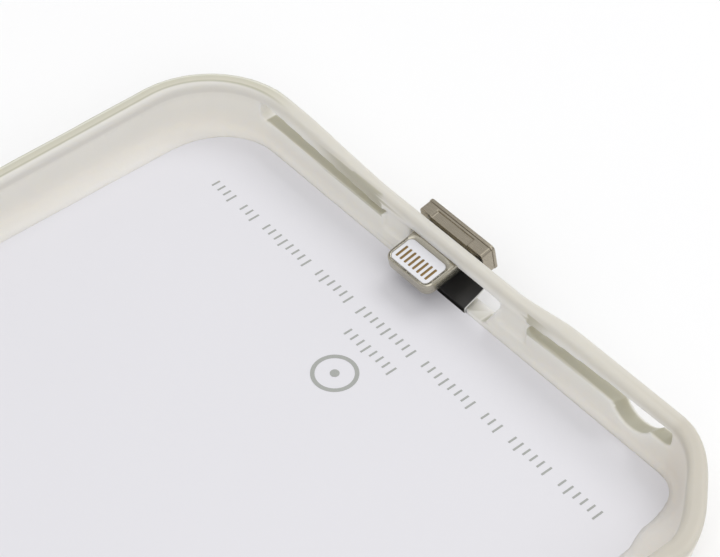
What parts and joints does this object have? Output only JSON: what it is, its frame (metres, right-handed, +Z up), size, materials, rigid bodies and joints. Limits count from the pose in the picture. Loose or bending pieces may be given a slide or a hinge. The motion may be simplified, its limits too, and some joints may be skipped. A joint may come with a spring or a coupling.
{
  "type": "wireless charging phone case",
  "caption": "Soft tray case for a phone with a charging receiver sealed in its back and a short plug on a flat flex lead in the window of its end wall",
  "frame": {"origin": "middle of the flat back that the case lies on", "axes": "+Y along the case to the phone's top, +X to the right as seen from the screen, +Z up out of the tray"},
  "size_m": [0.0834, 0.1655, 0.0098],
  "materials": {
    "soft_frame": "frosted translucent soft plastic, satin",
    "back_plate": "matt white moulded plate",
    "panel": "matt bluish white moulded plate",
    "ink": "grey screen print",
    "glue": "double-sided tape",
    "copper": "enamelled winding",
    "ferrite": "dark ferrite",
    "board": "solder mask",
    "chip": "moulded package",
    "capacitor": "ceramic body",
    "flex": "black cover film",
    "plug_metal": "warm nickel, brushed sides",
    "insulator": "smooth white plastic",
    "gold": "gold plated"
  },
  "bodies": {
    "case": {"bumper_frame": "soft_frame", "back_cover": "back_plate", "inner_panel": "panel", "printed_marks": "ink", "coil_glue": "glue", "receiver_coil": "copper", "coil_leads": "copper", "ferrite_sheet": "ferrite", "panel_tape": "glue", "receiver_board": "board", "rectifier_chip": "chip", "regulator_chip": "chip", "power_inductor": "ferrite", "capacitors": "capacitor", "flex_tail": "flex", "flex_lead": "flex"},
    "plug": {"plug_shell": "plug_metal", "plug_insulator": "insulator", "plug_board": "board", "top_contacts": "gold", "bottom_contacts": "gold", "grip_block": "plug_metal", "grip_plate": "plug_metal"}
  },
  "joints": [
    {"name": "plug_slide", "type": "slide", "parent": "case", "child": "plug", "axis": [0, -1, 0], "range_m": [0, 0.006], "deforming": ["flex_lead"]}
  ]
}
